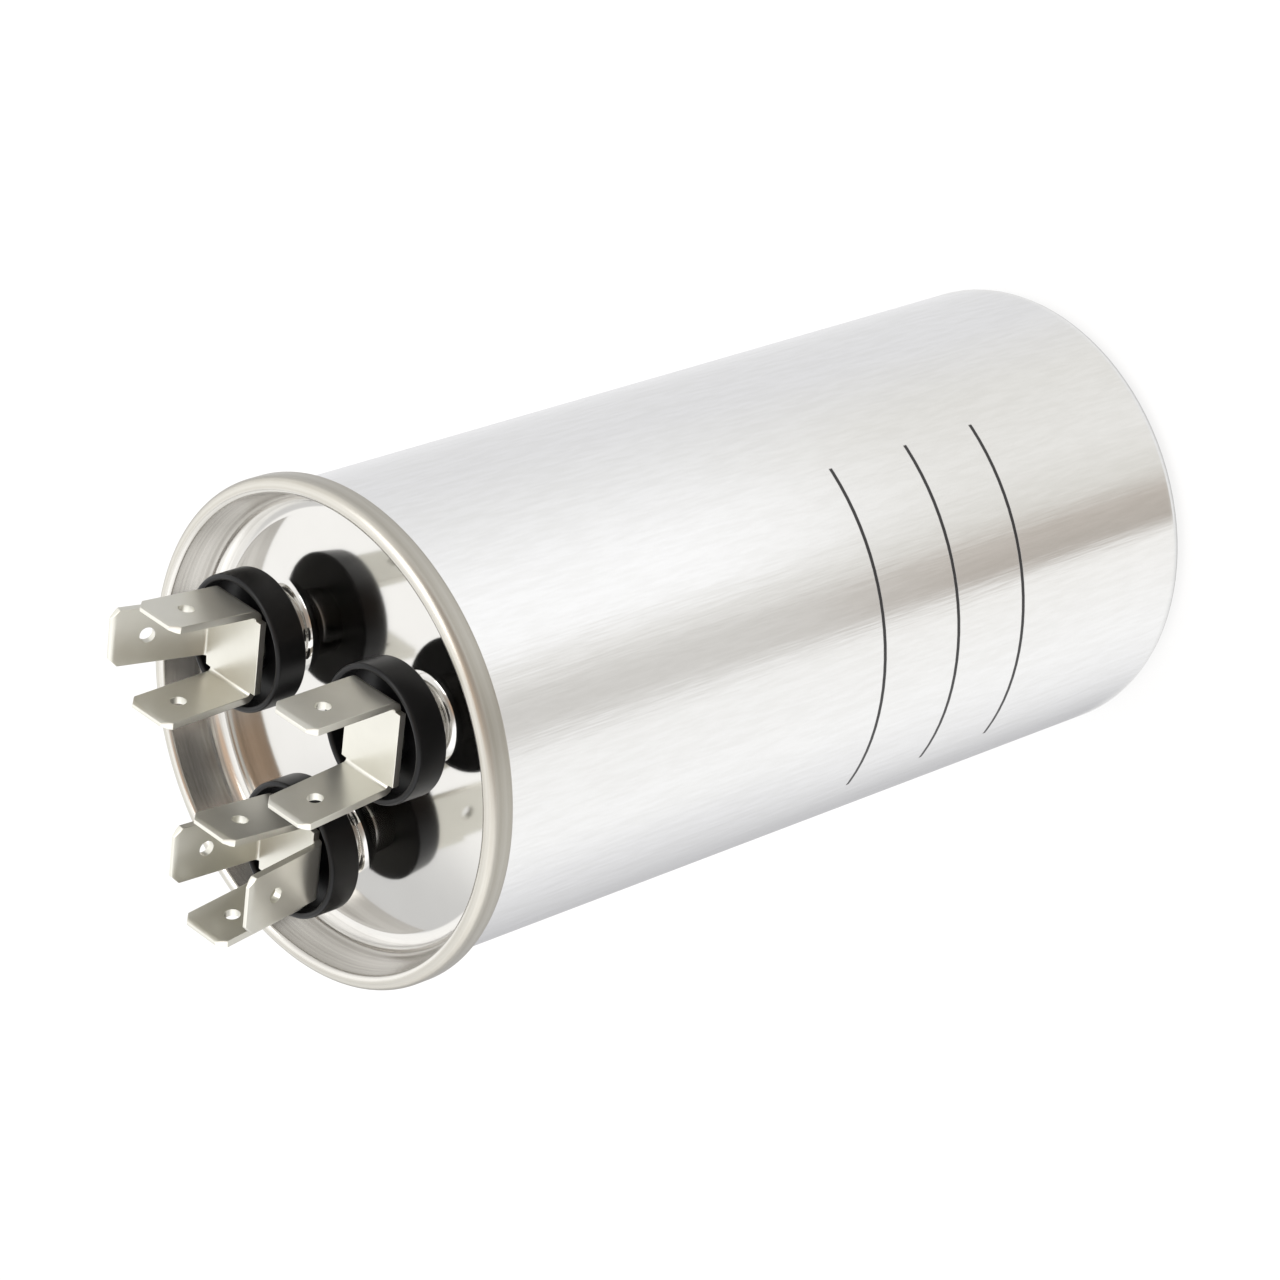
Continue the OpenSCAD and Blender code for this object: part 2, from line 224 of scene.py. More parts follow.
class Value:
    """One output socket of a node tree. Arithmetic on it adds Math nodes."""

    def __init__(self, shading, socket):
        self.shading = shading
        self.socket = socket

    def maths(self, operation, *values):
        return self.shading.add("ShaderNodeMath", {"operation": operation}, dict(enumerate(values)))

    def __add__(self, other):
        return self.maths("ADD", self, other)

    def __radd__(self, other):
        return self.maths("ADD", other, self)

    def __sub__(self, other):
        return self.maths("SUBTRACT", self, other)

    def __rsub__(self, other):
        return self.maths("SUBTRACT", other, self)

    def __mul__(self, other):
        return self.maths("MULTIPLY", self, other)

    def __rmul__(self, other):
        return self.maths("MULTIPLY", other, self)

    def __truediv__(self, other):
        return self.maths("DIVIDE", self, other)

    def __rtruediv__(self, other):
        return self.maths("DIVIDE", other, self)

    def root(self):
        return self.maths("SQRT", self)

    def size(self):
        return self.maths("ABSOLUTE", self)

    def at_most(self, other):
        return self.maths("MINIMUM", self, other)

    def step(self, low, high):
        """0 below low and 1 above high, with a smooth rise between. low may be the larger."""
        settings = {"interpolation_type": "SMOOTHSTEP"}
        if low < high:
            sockets = {"From Min": low, "From Max": high}
        else:
            sockets = {"From Min": high, "From Max": low, "To Min": 1.0, "To Max": 0.0}
        return self.shading.add("ShaderNodeMapRange", settings, {"Value": self, **sockets})


class Shading:
    """A node tree in the making, with one way of adding any node to it."""

    def __init__(self, owner):
        owner.use_nodes = True
        self.tree = owner.node_tree
        self.tree.nodes.clear()

    def add(self, kind, settings=None, sockets=None, out=0):
        node = self.tree.nodes.new(kind)
        for key, value in (settings or {}).items():
            if key == "stops":
                self.set_stops(node.color_ramp, value)
            else:
                setattr(node, key, value)
        for key, value in (sockets or {}).items():
            if isinstance(value, Value):
                self.tree.links.new(value.socket, node.inputs[key])
            else:
                node.inputs[key].default_value = value
        return Value(self, node.outputs[out]) if node.outputs else node

    def set_stops(self, ramp, stops):
        while len(ramp.elements) < len(stops):
            ramp.elements.new(1.0)
        for element, (place, colour) in zip(ramp.elements, stops):
            element.position = place
            element.color = colour

    def place(self):
        """Where a point lies on the part, in metres."""
        return self.add("ShaderNodeTexCoord", out="Object")

    def parts_of(self, vector):
        split = self.add("ShaderNodeSeparateXYZ", None, {"Vector": vector})
        outputs = split.socket.node.outputs
        return [Value(self, outputs[axis]) for axis in "XYZ"]

    def noise(self, vector, scale, detail=4.0, roughness=0.55, stretch=None):
        if stretch:
            settings = {"operation": "MULTIPLY"}
            vector = self.add("ShaderNodeVectorMath", settings, {0: vector, 1: stretch})
        sockets = {"Vector": vector, "Scale": scale, "Detail": detail, "Roughness": roughness}
        return self.add("ShaderNodeTexNoise", None, sockets, out="Fac")

    def blend(self, factor, first, second):
        """A colour between two colours."""
        settings = {"data_type": "RGBA", "clamp_factor": True}
        return self.add("ShaderNodeMix", settings, {0: factor, 6: first, 7: second}, out=2)

    def between(self, factor, tones):
        """A colour between a dark and a light tone."""
        dark, light = tones
        return self.blend(factor, rgb(*dark), rgb(*light))

    def bump(self, height, distance, strength=1.0):
        sockets = {"Height": height, "Distance": distance, "Strength": strength}
        return self.add("ShaderNodeBump", None, sockets)

    def principled(self, sockets):
        shader = self.add("ShaderNodeBsdfPrincipled", None, sockets)
        self.add("ShaderNodeOutputMaterial", None, {"Surface": shader})


def rgb(red, green, blue):
    return (red, green, blue, 1.0)


def new_material(name):
    material = bpy.data.materials.new(name)
    return material, Shading(material)


def from_axis(x, y):
    """Distance of a point from the can's axis."""
    return (x * x + y * y).root()


def turn_from_camera(x, y):
    """Azimuth of a point about the can's axis, in degrees from the camera's azimuth."""
    east, north = math.cos(CAMERA_AZIMUTH), math.sin(CAMERA_AZIMUTH)
    ahead = x * east + y * north
    aside = y * east - x * north
    return aside.maths("ARCTAN2", aside, ahead) * math.degrees(1.0)


def ink_mask(x, y, z):
    """1 on the plain ink lines round the can, else 0."""
    turn = turn_from_camera(x, y)
    drawn = turn.step(INK_FROM, INK_FROM + INK_END_FADE) * turn.step(INK_TO, INK_TO - INK_END_FADE)
    height = z + turn * INK_FALL
    outside, inside = INK_HALF * (1 + INK_EDGE_FADE), INK_HALF * (1 - INK_EDGE_FADE)
    first, second, third = [(height - level).size().step(outside, inside) for level in INK_LEVELS]
    return drawn * (first + second + third)


def can_aluminium():
    """Drawn aluminium: bright, with fine streaks along the draw and plain ink lines."""
    material, shading = new_material("can_aluminium_drawn")
    place = shading.place()
    streaks = shading.noise(place, 2600.0, detail=3.0, roughness=0.6, stretch=(1.0, 1.0, 0.025))
    bands = shading.noise(place, 600.0, detail=3.0, stretch=(1.0, 1.0, 0.08))
    clouds = shading.noise(place, 45.0)
    scuffs = shading.noise(place, 1500.0, detail=3.0, roughness=0.6, stretch=(1.0, 1.0, 0.15))
    marks = bands * 0.3 + clouds * 0.2 + scuffs.step(NOISE_LOW, NOISE_HIGH) * 0.5
    ink = ink_mask(*shading.parts_of(place))
    rough = 0.13 + 0.05 * streaks + 0.05 * bands + 0.03 * clouds
    shading.principled({
        "Base Color": shading.blend(ink, shading.between(marks, CAN_TONES), rgb(*INK_TONE)),
        "Metallic": 1.0 - ink,
        "Roughness": rough + ink * 0.2,
        "Normal": shading.bump(streaks * 0.5 + bands * 1.5, 0.028 * MM),
    })
    return material


def cover_tinplate():
    """Bright tinplate, pressed and rolled: nearly a mirror on the panel, duller on the seam."""
    material, shading = new_material("cover_tinplate_pressed")
    place = shading.place()
    x, y, z = shading.parts_of(place)
    out = from_axis(x, y)
    grain = shading.noise(place, 1800.0, detail=3.0, stretch=(1.0, 0.15, 1.0))
    clouds = shading.noise(place, 160.0)
    wander = clouds * ROLLED_DRIFT
    rolled = shading.add("ShaderNodeCombineXYZ", None, {"X": out, "Y": z, "Z": wander})
    lines = shading.noise(rolled, 1500.0, detail=3.0, roughness=0.6).step(NOISE_LOW, NOISE_HIGH)
    wall = out.step(WALL_FROM, WALL_FULL)
    seam = out.step(SEAM_FROM, SEAM_FULL)
    panel_tone = shading.between(clouds, PANEL_TONES)
    tone = shading.blend(wall, panel_tone, shading.between(lines, WALL_TONES))
    shading.principled({
        "Base Color": shading.blend(seam, tone, shading.between(lines, SEAM_TONES)),
        "Metallic": 1.0 - 0.15 * wall,
        "Roughness": 0.06 + 0.02 * grain + 0.03 * clouds + 0.08 * wall + 0.16 * seam,
        "Normal": shading.bump(clouds + lines * wall * 1.5, 0.004 * MM, 0.15),
    })
    return material


def insulator_black():
    """Black moulded plastic with a faint moulded grain."""
    material, shading = new_material("insulator_black_moulded")
    place = shading.place()
    grain = shading.noise(place, 1500.0, detail=3.0)
    clouds = shading.noise(place, 250.0, detail=3.0)
    shading.principled({
        "Base Color": shading.between(clouds, CUP_TONES),
        "Roughness": 0.26 + 0.10 * clouds + 0.05 * grain,
        "Specular IOR Level": 0.2,
        "Normal": shading.bump(grain, 0.006 * MM, 0.3),
    })
    return material


def tab_tinned():
    """Stamped sheet with a dull tin finish, finely scratched and cloudy."""
    material, shading = new_material("tab_tinned_stamped")
    place = shading.place()
    scratches = shading.noise(place, 2200.0, detail=1.0, stretch=(1.0, 1.0, 0.06))
    clouds = shading.noise(place, 300.0, detail=2.0)
    shading.principled({
        "Base Color": shading.between(clouds, TAB_TONES),
        "Metallic": 0.84,
        "Roughness": 0.275 + 0.025 * clouds + 0.015 * scratches,
        "Normal": shading.bump(clouds, 0.01 * MM),
    })
    return material


def stud_tinned():
    """Turned and tinned stud."""
    material, shading = new_material("stud_tinned_turned")
    clouds = shading.noise(shading.place(), 600.0)
    shading.principled({
        "Base Color": shading.between(clouds, STUD_TONES),
        "Metallic": 1.0,
        "Roughness": 0.27 + 0.10 * clouds,
    })
    return material


def plain_grained(name, tones, scale, rough, stretch=None, metallic=0.0):
    """A non-shiny inner material, cloudy between two tones."""
    material, shading = new_material(name)
    grain = shading.noise(shading.place(), scale, stretch=stretch)
    shading.principled({
        "Base Color": shading.between(grain, tones),
        "Metallic": metallic,
        "Roughness": rough + 0.15 * grain,
        "Normal": shading.bump(grain, 0.02 * MM, 0.3),
    })
    return material


def dress(material, *nodes):
    """Gives CAD nodes a finish."""
    for node in nodes:
        NODES[node].data.materials.clear()
        NODES[node].data.materials.append(material)


def for_each_terminal(kind):
    """The nodes of one kind, one under each terminal."""
    return [kind + "_" + terminal for terminal in TERMINALS]


def dress_inner_nodes():
    """The sealed pieces inside the can."""
    rubber = plain_grained(
        "washer_rubber_soft", ((0.02, 0.02, 0.02), (0.05, 0.05, 0.048)), scale=900.0, rough=0.6)
    sleeve = plain_grained(
        "lead_sleeve", ((0.42, 0.06, 0.05), (0.52, 0.09, 0.07)), scale=500.0, rough=0.4)
    liner = plain_grained(
        "liner_film", ((0.72, 0.68, 0.52), (0.80, 0.77, 0.62)), scale=220.0, rough=0.4)
    core = plain_grained(
        "core_moulded", ((0.78, 0.78, 0.75), (0.86, 0.86, 0.84)), scale=400.0, rough=0.4)
    film = plain_grained(
        "film_wound", ((0.50, 0.54, 0.60), (0.66, 0.70, 0.76)), scale=900.0, rough=0.25,
        stretch=(1.0, 1.0, 0.05), metallic=0.8)
    wrap = plain_grained(
        "wrap_film_clear", ((0.66, 0.58, 0.34), (0.76, 0.69, 0.46)), scale=350.0, rough=0.3)
    zinc = plain_grained(
        "zinc_sprayed", ((0.34, 0.34, 0.34), (0.48, 0.48, 0.47)), scale=2200.0, rough=0.6,
        metallic=1.0)
    dress(rubber, *for_each_terminal("washer"))
    dress(sleeve, *for_each_terminal("lead"))
    dress(liner, "liner")
    dress(core, "core")
    dress(film, "winding_compressor", "winding_fan")
    dress(wrap, "section_wrap")
    dress(zinc, *for_each_terminal("end"))


def new_object(name, data):
    """An object that is linked into the scene."""
    thing = bpy.data.objects.new(name, data)
    bpy.context.scene.collection.objects.link(thing)
    return thing


def finished_mesh(name, shape):
    """The mesh of a shape that is done."""
    mesh = bpy.data.meshes.new(name)
    shape.to_mesh(mesh)
    shape.free()
    return mesh


def mark_stamped_edges(sheet):
    """Weights the edges to be rounded, and keeps the rims of the punched holes sharp."""
    weight = sheet.edges.layers.float.new("bevel_weight_edge")
    sharp = [edge for edge in sheet.edges if edge.calc_face_angle(0.0) > STAMPED_ANGLE]
    smooth = [edge for edge in sheet.edges if edge.calc_face_angle(0.0) < STAMPED_ANGLE]
    walls = [edge for edge in smooth if abs(edge.calc_length() - TAB_T) < TAB_T_SLACK]
    rims = {vertex for edge in walls for vertex in edge.verts}
    for edge in sharp:
        if rims.issuperset(edge.verts):
            edge.smooth = False
        else:
            edge[weight] = 1.0


def stamped_copy(node, material):
    """A copy of a folded sheet with its stamped edges rounded, which stands for the node."""
    sheet = bmesh.new()
    sheet.from_mesh(NODES[node].data)
    bmesh.ops.remove_doubles(sheet, verts=sheet.verts, dist=SAME_POINT)
    bmesh.ops.dissolve_limit(
        sheet, angle_limit=SAME_FACE_ANGLE, verts=sheet.verts, edges=sheet.edges)
    for face in sheet.faces:
        face.smooth = True
    mark_stamped_edges(sheet)
    mesh = finished_mesh(node + "_stamped", sheet)
    mesh.materials.append(material)
    piece = new_object(node + "_stamped", mesh)
    edges = piece.modifiers.new("stamped_edges", "BEVEL")
    edges.width = STAMPED_EDGE_R
    edges.segments = STAMPED_SEGMENTS
    edges.limit_method = "WEIGHT"
    flats = piece.modifiers.new("flat_faces", "WEIGHTED_NORMAL")
    flats.mode = "FACE_AREA"
    flats.weight = LARGE_FACES_FIRST
    flats.keep_sharp = True
    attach(piece, "root")
    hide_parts(node)


class Crown:
    """The slight dome of the panel, which runs into the groove round it."""

    def __init__(self, apex, groove):
        rise = groove.y - apex
        self.radius = (groove.x ** 2 + rise ** 2 - GROOVE_R ** 2) / (2 * (GROOVE_R - rise))
        self.middle = apex - self.radius
        self.edge_slope = math.asin(groove.x / (self.radius + GROOVE_R))

    def at(self, x, y):
        """Point on the dome, and the dome's normal there."""
        up = math.sqrt(self.radius ** 2 - x * x - y * y)
        return Vector((x, y, self.middle + up)), Vector((x, y, up)).normalized()


class Sheet:
    """A sheet of even thickness, built from points on its face and the normals there."""

    def __init__(self):
        self.points = []
        self.normals = []
        self.faces = []
        self.ends = []

    def add(self, point, normal):
        self.points.append(point)
        self.normals.append(normal)
        return len(self.points) - 1

    def ring(self, sides, at):
        """Round of points, where at gives the point and normal for an angle."""
        return [self.add(*at(2 * math.pi * side / sides)) for side in range(sides)]

    def band(self, first, second):
        """Faces between two rings with the same number of points."""
        for side, (a, b) in enumerate(zip(first, second)):
            self.faces.append((first[side - 1], a, b, second[side - 1]))

    def piece(self, name):
        """The finished sheet: its face, the back behind it, and the ends between them."""
        solid = bmesh.new()
        backs = [point - normal * SHEET_T for point, normal in zip(self.points, self.normals)]
        verts = [solid.verts.new(point) for point in self.points + backs]
        count = len(self.points)
        for face in self.faces:
            solid.faces.new([verts[index] for index in face])
            solid.faces.new([verts[index + count] for index in reversed(face)])
        for end in self.ends:
            for side, index in enumerate(end):
                before = end[side - 1]
                corners = (before, index, index + count, before + count)
                solid.faces.new([verts[corner] for corner in corners])
        bmesh.ops.recalc_face_normals(solid, faces=solid.faces)
        mesh = finished_mesh(name, solid)
        mesh.shade_smooth()
        back_normals = [-normal for normal in self.normals]
        mesh.normals_split_custom_set_from_vertices(self.normals + back_normals)
        return new_object(name, mesh)


def bend(middle, radius, start, end, inside=False):
    """Points of a section along an arc, in degrees, with normals out of or into the arc."""
    count = math.ceil(abs(end - start) / BEND_STEP)
    points = []
    for step in range(count + 1):
        turn = math.radians(start + (end - start) * step / count)
        way = Vector((math.cos(turn), math.sin(turn)))
        points.append((middle + way * radius, -way if inside else way))
    return points


def cover_section(seam_r, seam_top):
    """The panel's crown, and the sheet's section from the groove to the hook in the seam."""
    lean = math.radians(RECESS_LEAN)
    seam_foot = seam_top - SEAM_H

    def wall(level, radius):
        """Middle of an arc that touches the recess wall, on its far side if radius is negative."""
        along = seam_r - RECESS_IN + (level - seam_foot) * math.tan(lean)
        return Vector((along + radius / math.cos(lean), level))

    groove = wall(seam_top - RECESS_DEPTH + GROOVE_R, -GROOVE_R)
    inner = wall(seam_top - SEAM_INNER_R, SEAM_INNER_R)
    edge = Vector((seam_r - SEAM_EDGE_R, seam_top - SEAM_EDGE_R))
    heel = Vector((seam_r - SEAM_FOOT_R, seam_foot + SEAM_FOOT_R))
    hook = Vector((seam_r - HOOK_IN + HOOK_R, seam_foot + HOOK_R))
    hook_end = Vector((seam_r - HOOK_IN, seam_top - HOOK_DROP))
    crown = Crown(seam_top - CROWN_DROP, groove)
    groove_from = -90 - math.degrees(crown.edge_slope)
    section = bend(groove, GROOVE_R, groove_from, -RECESS_LEAN, inside=True)
    section += bend(inner, SEAM_INNER_R, 180 - RECESS_LEAN, 90)
    section += bend(edge, SEAM_EDGE_R, 90, 0)
    section += bend(heel, SEAM_FOOT_R, 0, -90)
    section += bend(hook, HOOK_R, -90, -180)
    section.append((hook_end, Vector((-1, 0))))
    return crown, section


def collar_middles():
    turns = [math.radians(azimuth) for azimuth in COLLAR_AZIMUTHS]
    return [Vector((PITCH_R * math.cos(turn), PITCH_R * math.sin(turn))) for turn in turns]


def press_collar(sheet, crown, middle, top):
    """A collar drawn up from the panel. Returns the ring where its flare meets the panel."""

    def flare(rise):
        def at(turn):
            way = Vector((math.cos(turn), math.sin(turn)))
            spot = middle + way * (COLLAR_R + COLLAR_FLARE * (1 - math.sin(rise)))
            point, normal = crown.at(*spot)
            lift = Vector((0, 0, COLLAR_FLARE * (1 - math.cos(rise))))
            tilted = normal * math.cos(rise) + way.to_3d() * math.sin(rise)
            return point + lift, tilted.normalized()
        return at

    def brim(turn):
        way = Vector((math.cos(turn), math.sin(turn)))
        return (middle + way * COLLAR_R).to_3d() + Vector((0, 0, top)), way.to_3d()

    steps = math.ceil(90 / BEND_STEP)
    rises = [math.radians(90 * step / steps) for step in range(steps + 1)]
    rings = [sheet.ring(COLLAR_SIDES, flare(rise)) for rise in rises]
    rings.append(sheet.ring(COLLAR_SIDES, brim))
    for lower, upper in zip(rings, rings[1:]):
        sheet.band(lower, upper)
    sheet.ends.append(rings[-1])
    return rings[0]


def press_panel(sheet, crown, loops):
    """The panel's face between its outer ring and the rings round the collars."""
    flare_r = COLLAR_R + COLLAR_FLARE
    middles = collar_middles()
    marks = [index for loop in loops for index in loop]
    rows = math.ceil(PANEL_R / PANEL_GRID)
    for row in range(-rows, rows + 1):
        for column in range(-rows, rows + 1):
            spot = Vector((column + 0.5 * (row % 2), row * PANEL_ROW)) * PANEL_GRID
            clear = min((spot - middle).length for middle in middles) - flare_r
            if min(clear, PANEL_R - spot.length) > PANEL_GRID * PANEL_CLEAR:
                marks.append(sheet.add(*crown.at(*spot)))
    spots = [sheet.points[index].to_2d() / MM for index in marks]
    starts = [sum(len(loop) for loop in loops[:number]) for number in range(len(loops))]
    edges = [(start + side, start + (side + 1) % len(loop))
             for start, loop in zip(starts, loops) for side in range(len(loop))]
    corners, _, faces, sources, _, _ = delaunay_2d_cdt(spots, edges, [], 0, PANEL_SLACK)
    for face in faces:
        centre = sum((corners[corner] for corner in face), Vector((0, 0))) * MM / len(face)
        if min((centre - middle).length for middle in middles) > flare_r:
            sheet.faces.append([marks[sources[corner][0]] for corner in face])


def pressed_cover(material):
    """The cover as one smooth pressed sheet, which stands for its node."""
    corners = [vertex.co for vertex in NODES["cover"].data.vertices]
    seam_r = max(corner.x for corner in corners)
    seam_top = max(corner.z for corner in corners)
    crown, section = cover_section(seam_r, seam_top)
    sheet = Sheet()

    def on_crown(radius):
        return lambda turn: crown.at(radius * math.cos(turn), radius * math.sin(turn))

    def on_section(point, normal):
        def at(turn):
            way = Vector((math.cos(turn), math.sin(turn), 0))
            up = Vector((0, 0, 1))
            return way * point.x + up * point.y, way * normal.x + up * normal.y
        return at

    groove_start = section[0][0].x
    ring_step = (groove_start - PANEL_R) / PANEL_RINGS
    radii = [PANEL_R + ring_step * ring for ring in range(PANEL_RINGS)]
    rings = [sheet.ring(COVER_SIDES, on_crown(radius)) for radius in radii]
    rings += [sheet.ring(COVER_SIDES, on_section(*spot)) for spot in section]
    for inner, outer in zip(rings, rings[1:]):
        sheet.band(inner, outer)
    sheet.ends.append(rings[-1])
    collars = [press_collar(sheet, crown, middle, CUP_FOOT) for middle in collar_middles()]
    press_panel(sheet, crown, [rings[0]] + collars)
    piece = sheet.piece("cover_pressed")
    piece.data.materials.append(material)
    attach(piece, "root")
    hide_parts("cover")


def cup_section():
    """Outline of a cup's section, from the foot of its spigot round the lip to the bore."""
    lip_r = CUP_WALL / 2
    edge = Vector((CUP_R - CUP_EDGE_R, CUP_FOOT + CUP_EDGE_R))
    lip = Vector((CUP_R - lip_r, CUP_LIP - lip_r))
    outside = bend(edge, CUP_EDGE_R, -90, 0) + bend(lip, lip_r, 0, 180)
    return [
        Vector((STUD_BORE_R, SPIGOT_FOOT)),
        Vector((SPIGOT_R, SPIGOT_FOOT)),
        Vector((SPIGOT_R, CUP_FOOT)),
        *(point for point, normal in outside),
        Vector((CUP_R - CUP_WALL, CUP_FLOOR)),
        Vector((PEDESTAL_R, CUP_FLOOR)),
        Vector((PEDESTAL_R, PEDESTAL_TOP)),
        Vector((STUD_BORE_R, PEDESTAL_TOP)),
    ]


def moulded_cup(node, middle, material):
    """An insulator cup turned about its terminal's axis, which stands for its node."""
    section = cup_section()
    cup = bmesh.new()
    rings = []
    for side in range(CUP_SIDES):
        turn = 2 * math.pi * side / CUP_SIDES
        way = Vector((math.cos(turn), math.sin(turn)))
        spots = [(middle + way * spot.x).to_3d() + Vector((0, 0, spot.y)) for spot in section]
        rings.append([cup.verts.new(spot) for spot in spots])
    for side, ring in enumerate(rings):
        before = rings[side - 1]
        for step in range(len(section)):
            cup.faces.new((before[step - 1], ring[step - 1], ring[step], before[step]))
    bmesh.ops.recalc_face_normals(cup, faces=cup.faces)
    mesh = finished_mesh(node + "_moulded", cup)
    mesh.shade_smooth()
    mesh.set_sharp_from_angle(angle=CUP_SHARP)
    mesh.materials.append(material)
    piece = new_object(node + "_moulded", mesh)
    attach(piece, "root")
    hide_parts(node)


def make_camera():
    data = bpy.data.cameras.new("camera")
    data.sensor_width = SENSOR_WIDTH
    data.lens = FOCAL_PX / PICTURE_WIDTH_PX * SENSOR_WIDTH
    data.clip_start = 0.01
    data.clip_end = 20.0
    camera = new_object("camera", data)
    ahead = (CAMERA_AIM - CAMERA_AT).normalized()
    level_right = ahead.cross(Vector((0, 0, 1))).normalized()
    level_up = level_right.cross(ahead)
    up = level_up * math.cos(CAMERA_ROLL) + level_right * math.sin(CAMERA_ROLL)
    right = ahead.cross(up)
    turned = Matrix((right, up, -ahead)).transposed().to_4x4()
    camera.matrix_world = Matrix.Translation(CAMERA_AT) @ turned
    bpy.context.scene.camera = camera


def link_stage(name, mesh, material):
    stage = new_object(name, mesh)
    mesh.materials.append(material)
    return stage


def disc(name, radius, inner_radius=0.0):
    """A flat round sheet, or a ring if it has an inner radius."""
    sheet = bmesh.new()
    turns = [2 * math.pi * side / FLOOR_SIDES for side in range(FLOOR_SIDES)]
    ways = [Vector((math.cos(turn), math.sin(turn), 0)) for turn in turns]
    rings = []
    for ring in range(FLOOR_RINGS + 1):
        reach = inner_radius + (radius - inner_radius) * (ring / FLOOR_RINGS) ** 2
        rings.append([sheet.verts.new(way * reach) for way in ways] if reach else None)
    for inner, outer in zip(rings, rings[1:]):
        if inner is None:
            sheet.faces.new(outer)
            continue
        for side in range(FLOOR_SIDES):
            after = (side + 1) % FLOOR_SIDES
            sheet.faces.new((inner[side], outer[side], outer[after], inner[after]))
    return finished_mesh(name, sheet)


def floor_white():
    """White floor that stays white for the camera but keeps a soft shadow."""
    material, shading = new_material("floor_white_matt")
    camera = shading.add("ShaderNodeLightPath", out="Is Camera Ray")
    glossy = shading.add("ShaderNodeLightPath", out="Is Glossy Ray")
    through = shading.add("ShaderNodeLightPath", out="Is Transmission Ray")
    matt = shading.add("ShaderNodeBsdfDiffuse", None, {"Color": rgb(*FLOOR_MATT)})
    tone = shading.blend(camera, rgb(*FLOOR_MIRRORED), rgb(*BACKDROP))
    glow = shading.add("ShaderNodeEmission", None, {"Color": tone, "Strength": 1.0})
    share = camera * FLOOR_SEEN_GLOW + (glossy + through) * FLOOR_MIRRORED_GLOW
    shader = shading.add("ShaderNodeMixShader", None, {0: share.at_most(1.0), 1: matt, 2: glow})
    shading.add("ShaderNodeOutputMaterial", None, {"Surface": shader})
    return material


def mirrored_turn(turn, out):
    """Azimuth on the can, in degrees, at which the camera sees a point of the floor mirrored."""
    reach = (CAN_R / out).at_most(1.0)
    turn = turn * math.radians(1.0)
    side = turn / (2.0 - reach)
    for _ in range(MIRROR_ROUNDS):
        lag = reach * side.maths("SINE", side)
        side = (turn + lag.maths("ARCSINE", lag)) * 0.5
    return side * math.degrees(1.0)


def on_ramp(turn):
    """Place on a ramp that runs from -90 to 90 degrees."""
    return turn / 180.0 + 0.5


def reflection_cards():
    """Glowing sheets laid round the can, which only its metal shows: a painted reflection, white,
    with grey and taupe bands of painted shade.
    """
    material, shading = new_material("cards_painted_reflection")
    x, y, _ = shading.parts_of(shading.place())
    out = from_axis(x, y)
    side = on_ramp(mirrored_turn(turn_from_camera(x, y), out))

    def bands(stops):
        settings = {"stops": [(on_ramp(turn), rgb(*tone)) for turn, tone in stops]}
        return shading.add("ShaderNodeValToRGB", settings, {"Fac": side})

    tone = shading.blend(out.step(CARD_NEAR, CARD_FAR), bands(NEAR_BANDS), bands(FAR_BANDS))
    # Painted highlight and then painted shade close round the can's foot, which its rounded edge
    # mirrors
    tone = shading.blend(out.step(FOOT_PALE_FROM, FOOT_PALE_FULL), tone, rgb(*FOOT_PALE))
    tone = shading.blend(out.step(FOOT_GREY_FROM, FOOT_GREY_FULL), tone, rgb(*FOOT_GREY))
    glow = shading.add("ShaderNodeEmission", None, {"Color": tone, "Strength": 1.0})
    shading.add("ShaderNodeOutputMaterial", None, {"Surface": glow})
    return material


def make_stage():
    floor = link_stage("floor", disc("floor", FLOOR_R), floor_white())
    floor.location.z = CAD_BOX[0].z - CARD_LIFT
    # Glowing cards that only glossy rays see, which paint the can's reflection with painted
    # highlights and painted shade
    card_ring = disc("reflection_cards", CARD_R, CARD_HOLE_R)
    cards = link_stage("reflection_cards", card_ring, reflection_cards())
    cards.location.z = CAD_BOX[0].z - CARD_LIFT * 0.5
    cards.visible_camera = False
    cards.visible_diffuse = False
    cards.visible_shadow = False


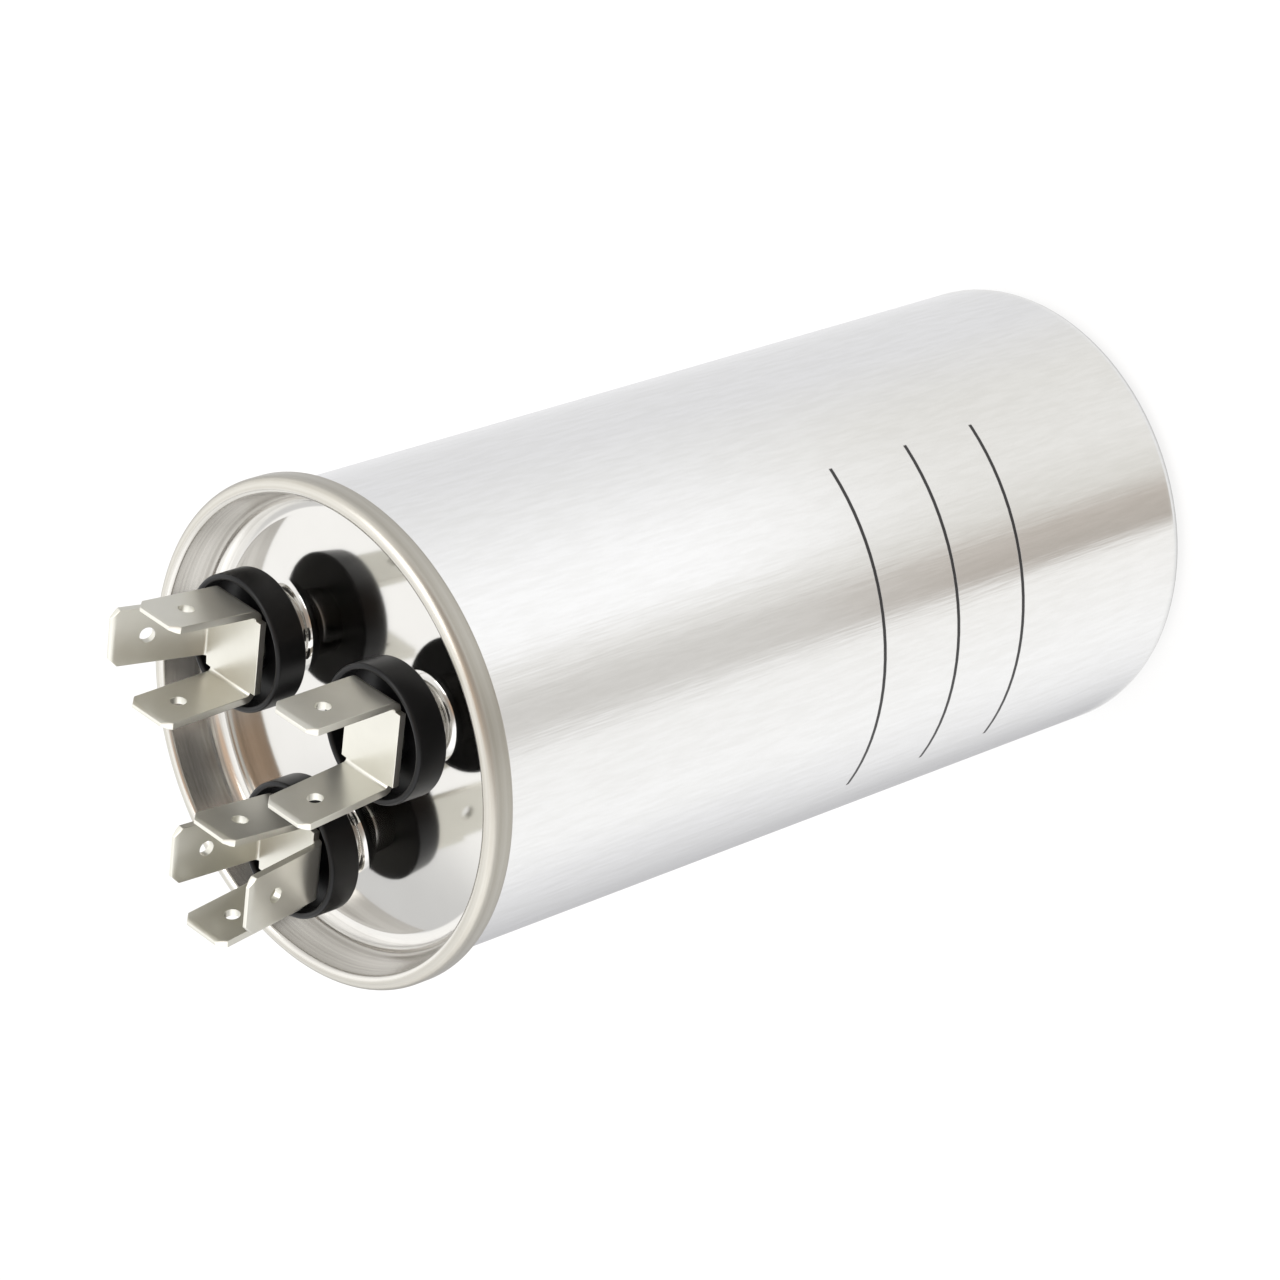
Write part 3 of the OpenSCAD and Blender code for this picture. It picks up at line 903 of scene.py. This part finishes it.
def studio_direction(azimuth, elevation):
    """Unit vector towards a place in the studio, with the azimuth taken from the camera's."""
    turn = CAMERA_AZIMUTH + math.radians(azimuth)
    rise = math.radians(elevation)
    level = math.cos(rise)
    return Vector((math.cos(turn) * level, math.sin(turn) * level, math.sin(rise)))


def glow_patch(parts, azimuth, elevation, inner, outer):
    """1 within an angle of a direction and 0 past a larger one, in degrees."""
    x, y, z = parts
    middle = studio_direction(azimuth, elevation)
    facing = x * middle.x + y * middle.y + z * middle.z
    return facing.step(math.cos(math.radians(outer)), math.cos(math.radians(inner)))


def make_world():
    """Even studio light with brighter, duller and warmer patches, and white for the camera."""
    world = bpy.data.worlds.new("studio")
    bpy.context.scene.world = world
    shading = Shading(world)
    parts = shading.parts_of(shading.add("ShaderNodeTexCoord", out="Generated"))
    tone = rgb(*STUDIO_TONE)
    for *place, patch_tone in STUDIO_PATCHES:
        tone = shading.blend(glow_patch(parts, *place), tone, rgb(*patch_tone))
    camera = shading.add("ShaderNodeLightPath", out="Is Camera Ray")
    seen = shading.blend(camera, tone, rgb(*BACKDROP))
    light = shading.add("ShaderNodeBackground", None, {"Color": seen, "Strength": 1.0})
    shading.add("ShaderNodeOutputWorld", None, {"Surface": light})


def make_lamp(name, azimuth, elevation, distance, size, power):
    """A square soft lamp that looks at the part's middle."""
    data = bpy.data.lights.new(name, "AREA")
    data.size = size
    data.energy = power
    lamp = new_object(name, data)
    toward = studio_direction(azimuth, elevation)
    middle = (CAD_BOX[0] + CAD_BOX[1]) / 2
    lamp.location = middle + toward * distance
    lamp.rotation_mode = "QUATERNION"
    lamp.rotation_quaternion = toward.to_track_quat("Z", "Y")


bpy.context.scene.view_settings.view_transform = "Standard"
make_camera()
make_stage()
make_world()
make_lamp("key_lamp", azimuth=70, elevation=60, distance=1.2, size=0.8, power=6.0)

dress(can_aluminium(), "can")
pressed_cover(cover_tinplate())
moulded = insulator_black()
for terminal, middle in zip(TERMINALS, collar_middles()):
    moulded_cup("cup_" + terminal, middle, moulded)
dress(stud_tinned(), *for_each_terminal("stud"))
dress_inner_nodes()
tinned = tab_tinned()
for terminal in TERMINALS:
    stamped_copy("tabs_" + terminal, tinned)
